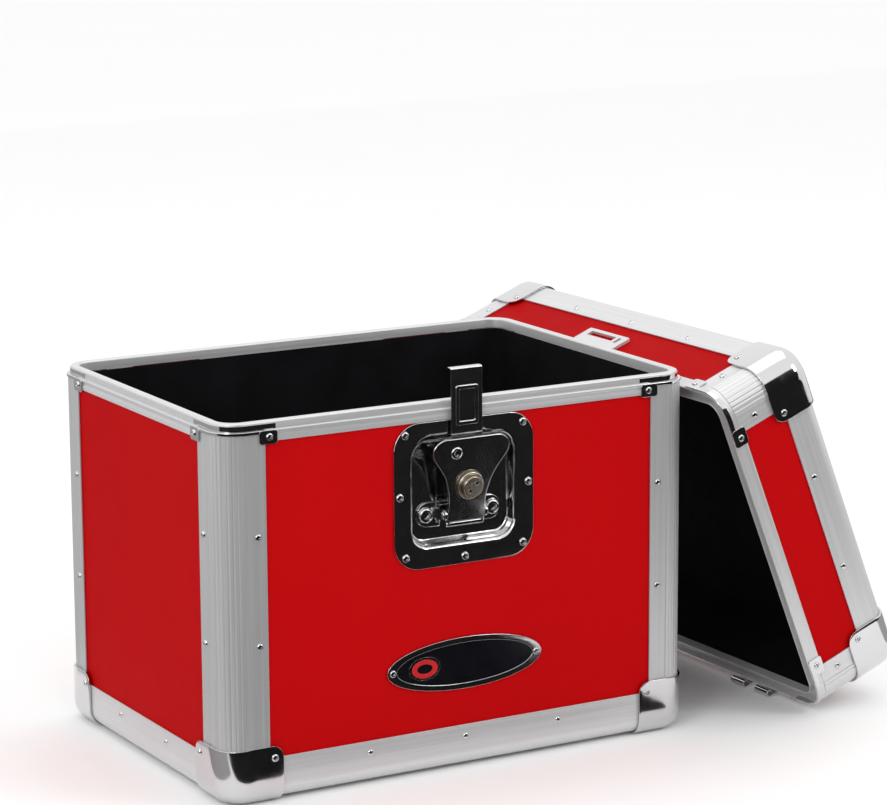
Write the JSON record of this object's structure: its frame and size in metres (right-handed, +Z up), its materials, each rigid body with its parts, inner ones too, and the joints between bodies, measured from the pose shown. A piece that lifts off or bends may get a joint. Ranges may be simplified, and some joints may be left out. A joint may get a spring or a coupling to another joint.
{
  "type": "record carrying case",
  "caption": "Hard-shell case for twelve-inch records: laminate panels in aluminium extrusions, ball corners, a draw latch and a lift-off lid leaning beside it.",
  "frame": {"origin": "bottom centre of the whole part, case and leaning lid together, on the surface it stands on", "axes": "+X from the case towards the lid beside it, +Y from the latch side of the case to its back, +Z up"},
  "size_m": [0.5566, 0.3856, 0.2929],
  "materials": {
    "red_laminate": "satin red laminate on plywood",
    "aluminium": "satin anodised extrusion",
    "chrome": "polished plated steel",
    "lining": "black foam-backed lining",
    "grip_rubber": "moulded black rubber",
    "badge_enamel": "gloss black, plain"
  },
  "bodies": {
    "case": {"base_floor": "red_laminate", "base_front_panel": "red_laminate", "base_back_panel": "red_laminate", "base_left_panel": "red_laminate", "base_right_panel": "red_laminate", "base_corner_front_left": "aluminium", "base_corner_front_right": "aluminium", "base_corner_back_right": "aluminium", "base_corner_back_left": "aluminium", "base_edge_front": "aluminium", "base_edge_right": "aluminium", "base_edge_back": "aluminium", "base_edge_left": "aluminium", "base_rim": "aluminium", "base_ball_corner_front_left": "chrome", "base_ball_corner_front_right": "chrome", "base_ball_corner_back_right": "chrome", "base_ball_corner_back_left": "chrome", "base_lining": "lining", "base_hinge_left": "chrome", "base_hinge_right": "chrome", "badge_plate": "badge_enamel", "latch_dish": "chrome", "latch_bracket": "chrome", "latch_pivot_right": "chrome", "latch_pivot_left": "chrome"},
    "lid": {"lid_top": "red_laminate", "lid_front_panel": "red_laminate", "lid_back_panel": "red_laminate", "lid_left_panel": "red_laminate", "lid_right_panel": "red_laminate", "lid_corner_front_left": "aluminium", "lid_corner_front_right": "aluminium", "lid_corner_back_right": "aluminium", "lid_corner_back_left": "aluminium", "lid_rim": "aluminium", "lid_edge_front": "aluminium", "lid_edge_left": "aluminium", "lid_edge_back": "aluminium", "lid_edge_right": "aluminium", "lid_ball_corner_front_right": "chrome", "lid_ball_corner_front_left": "chrome", "lid_ball_corner_back_left": "chrome", "lid_ball_corner_back_right": "chrome", "lid_lining": "lining", "lid_catch_plate": "aluminium", "lid_hinge_left": "chrome", "handle_bracket_left": "chrome", "lid_hinge_right": "chrome", "handle_bracket_right": "chrome"},
    "latch_lever": {"latch_lever": "chrome", "latch_rod": "chrome", "lock_barrel": "chrome"},
    "latch_hook": {"latch_hook": "chrome"},
    "lock_plug": {"lock_plug": "chrome"},
    "handle": {"handle_bail": "chrome", "handle_grip": "grip_rubber"}
  },
  "joints": [
    {"name": "lid_lift", "type": "slide", "parent": "case", "child": "lid", "axis": [0, 0, 1], "range_m": [0, 0.3]},
    {"name": "latch_lever_pivot", "type": "hinge", "parent": "case", "child": "latch_lever", "pos_m": [-0.08638, -0.16198, 0.1874], "axis": [1, 0, 0], "range_deg": [0, 90]},
    {"name": "latch_hook_pivot", "type": "hinge", "parent": "latch_lever", "child": "latch_hook", "pos_m": [-0.08638, -0.16198, 0.1809], "axis": [1, 0, 0], "range_deg": [-82, 0]},
    {"name": "lock_turn", "type": "hinge", "parent": "latch_lever", "child": "lock_plug", "pos_m": [-0.08638, -0.1705, 0.20924], "axis": [0, -0.9877, -0.1564], "range_deg": [0, 90]},
    {"name": "handle_swing", "type": "hinge", "parent": "lid", "child": "handle", "pos_m": [0.23617, 0.00058, 0.16153], "axis": [0.0175, -0.9998, 0], "range_deg": [0, 180]}
  ],
  "couplings": [
    {"joint": "latch_hook_pivot", "follows": "latch_lever_pivot", "ratio": -0.91}
  ]
}
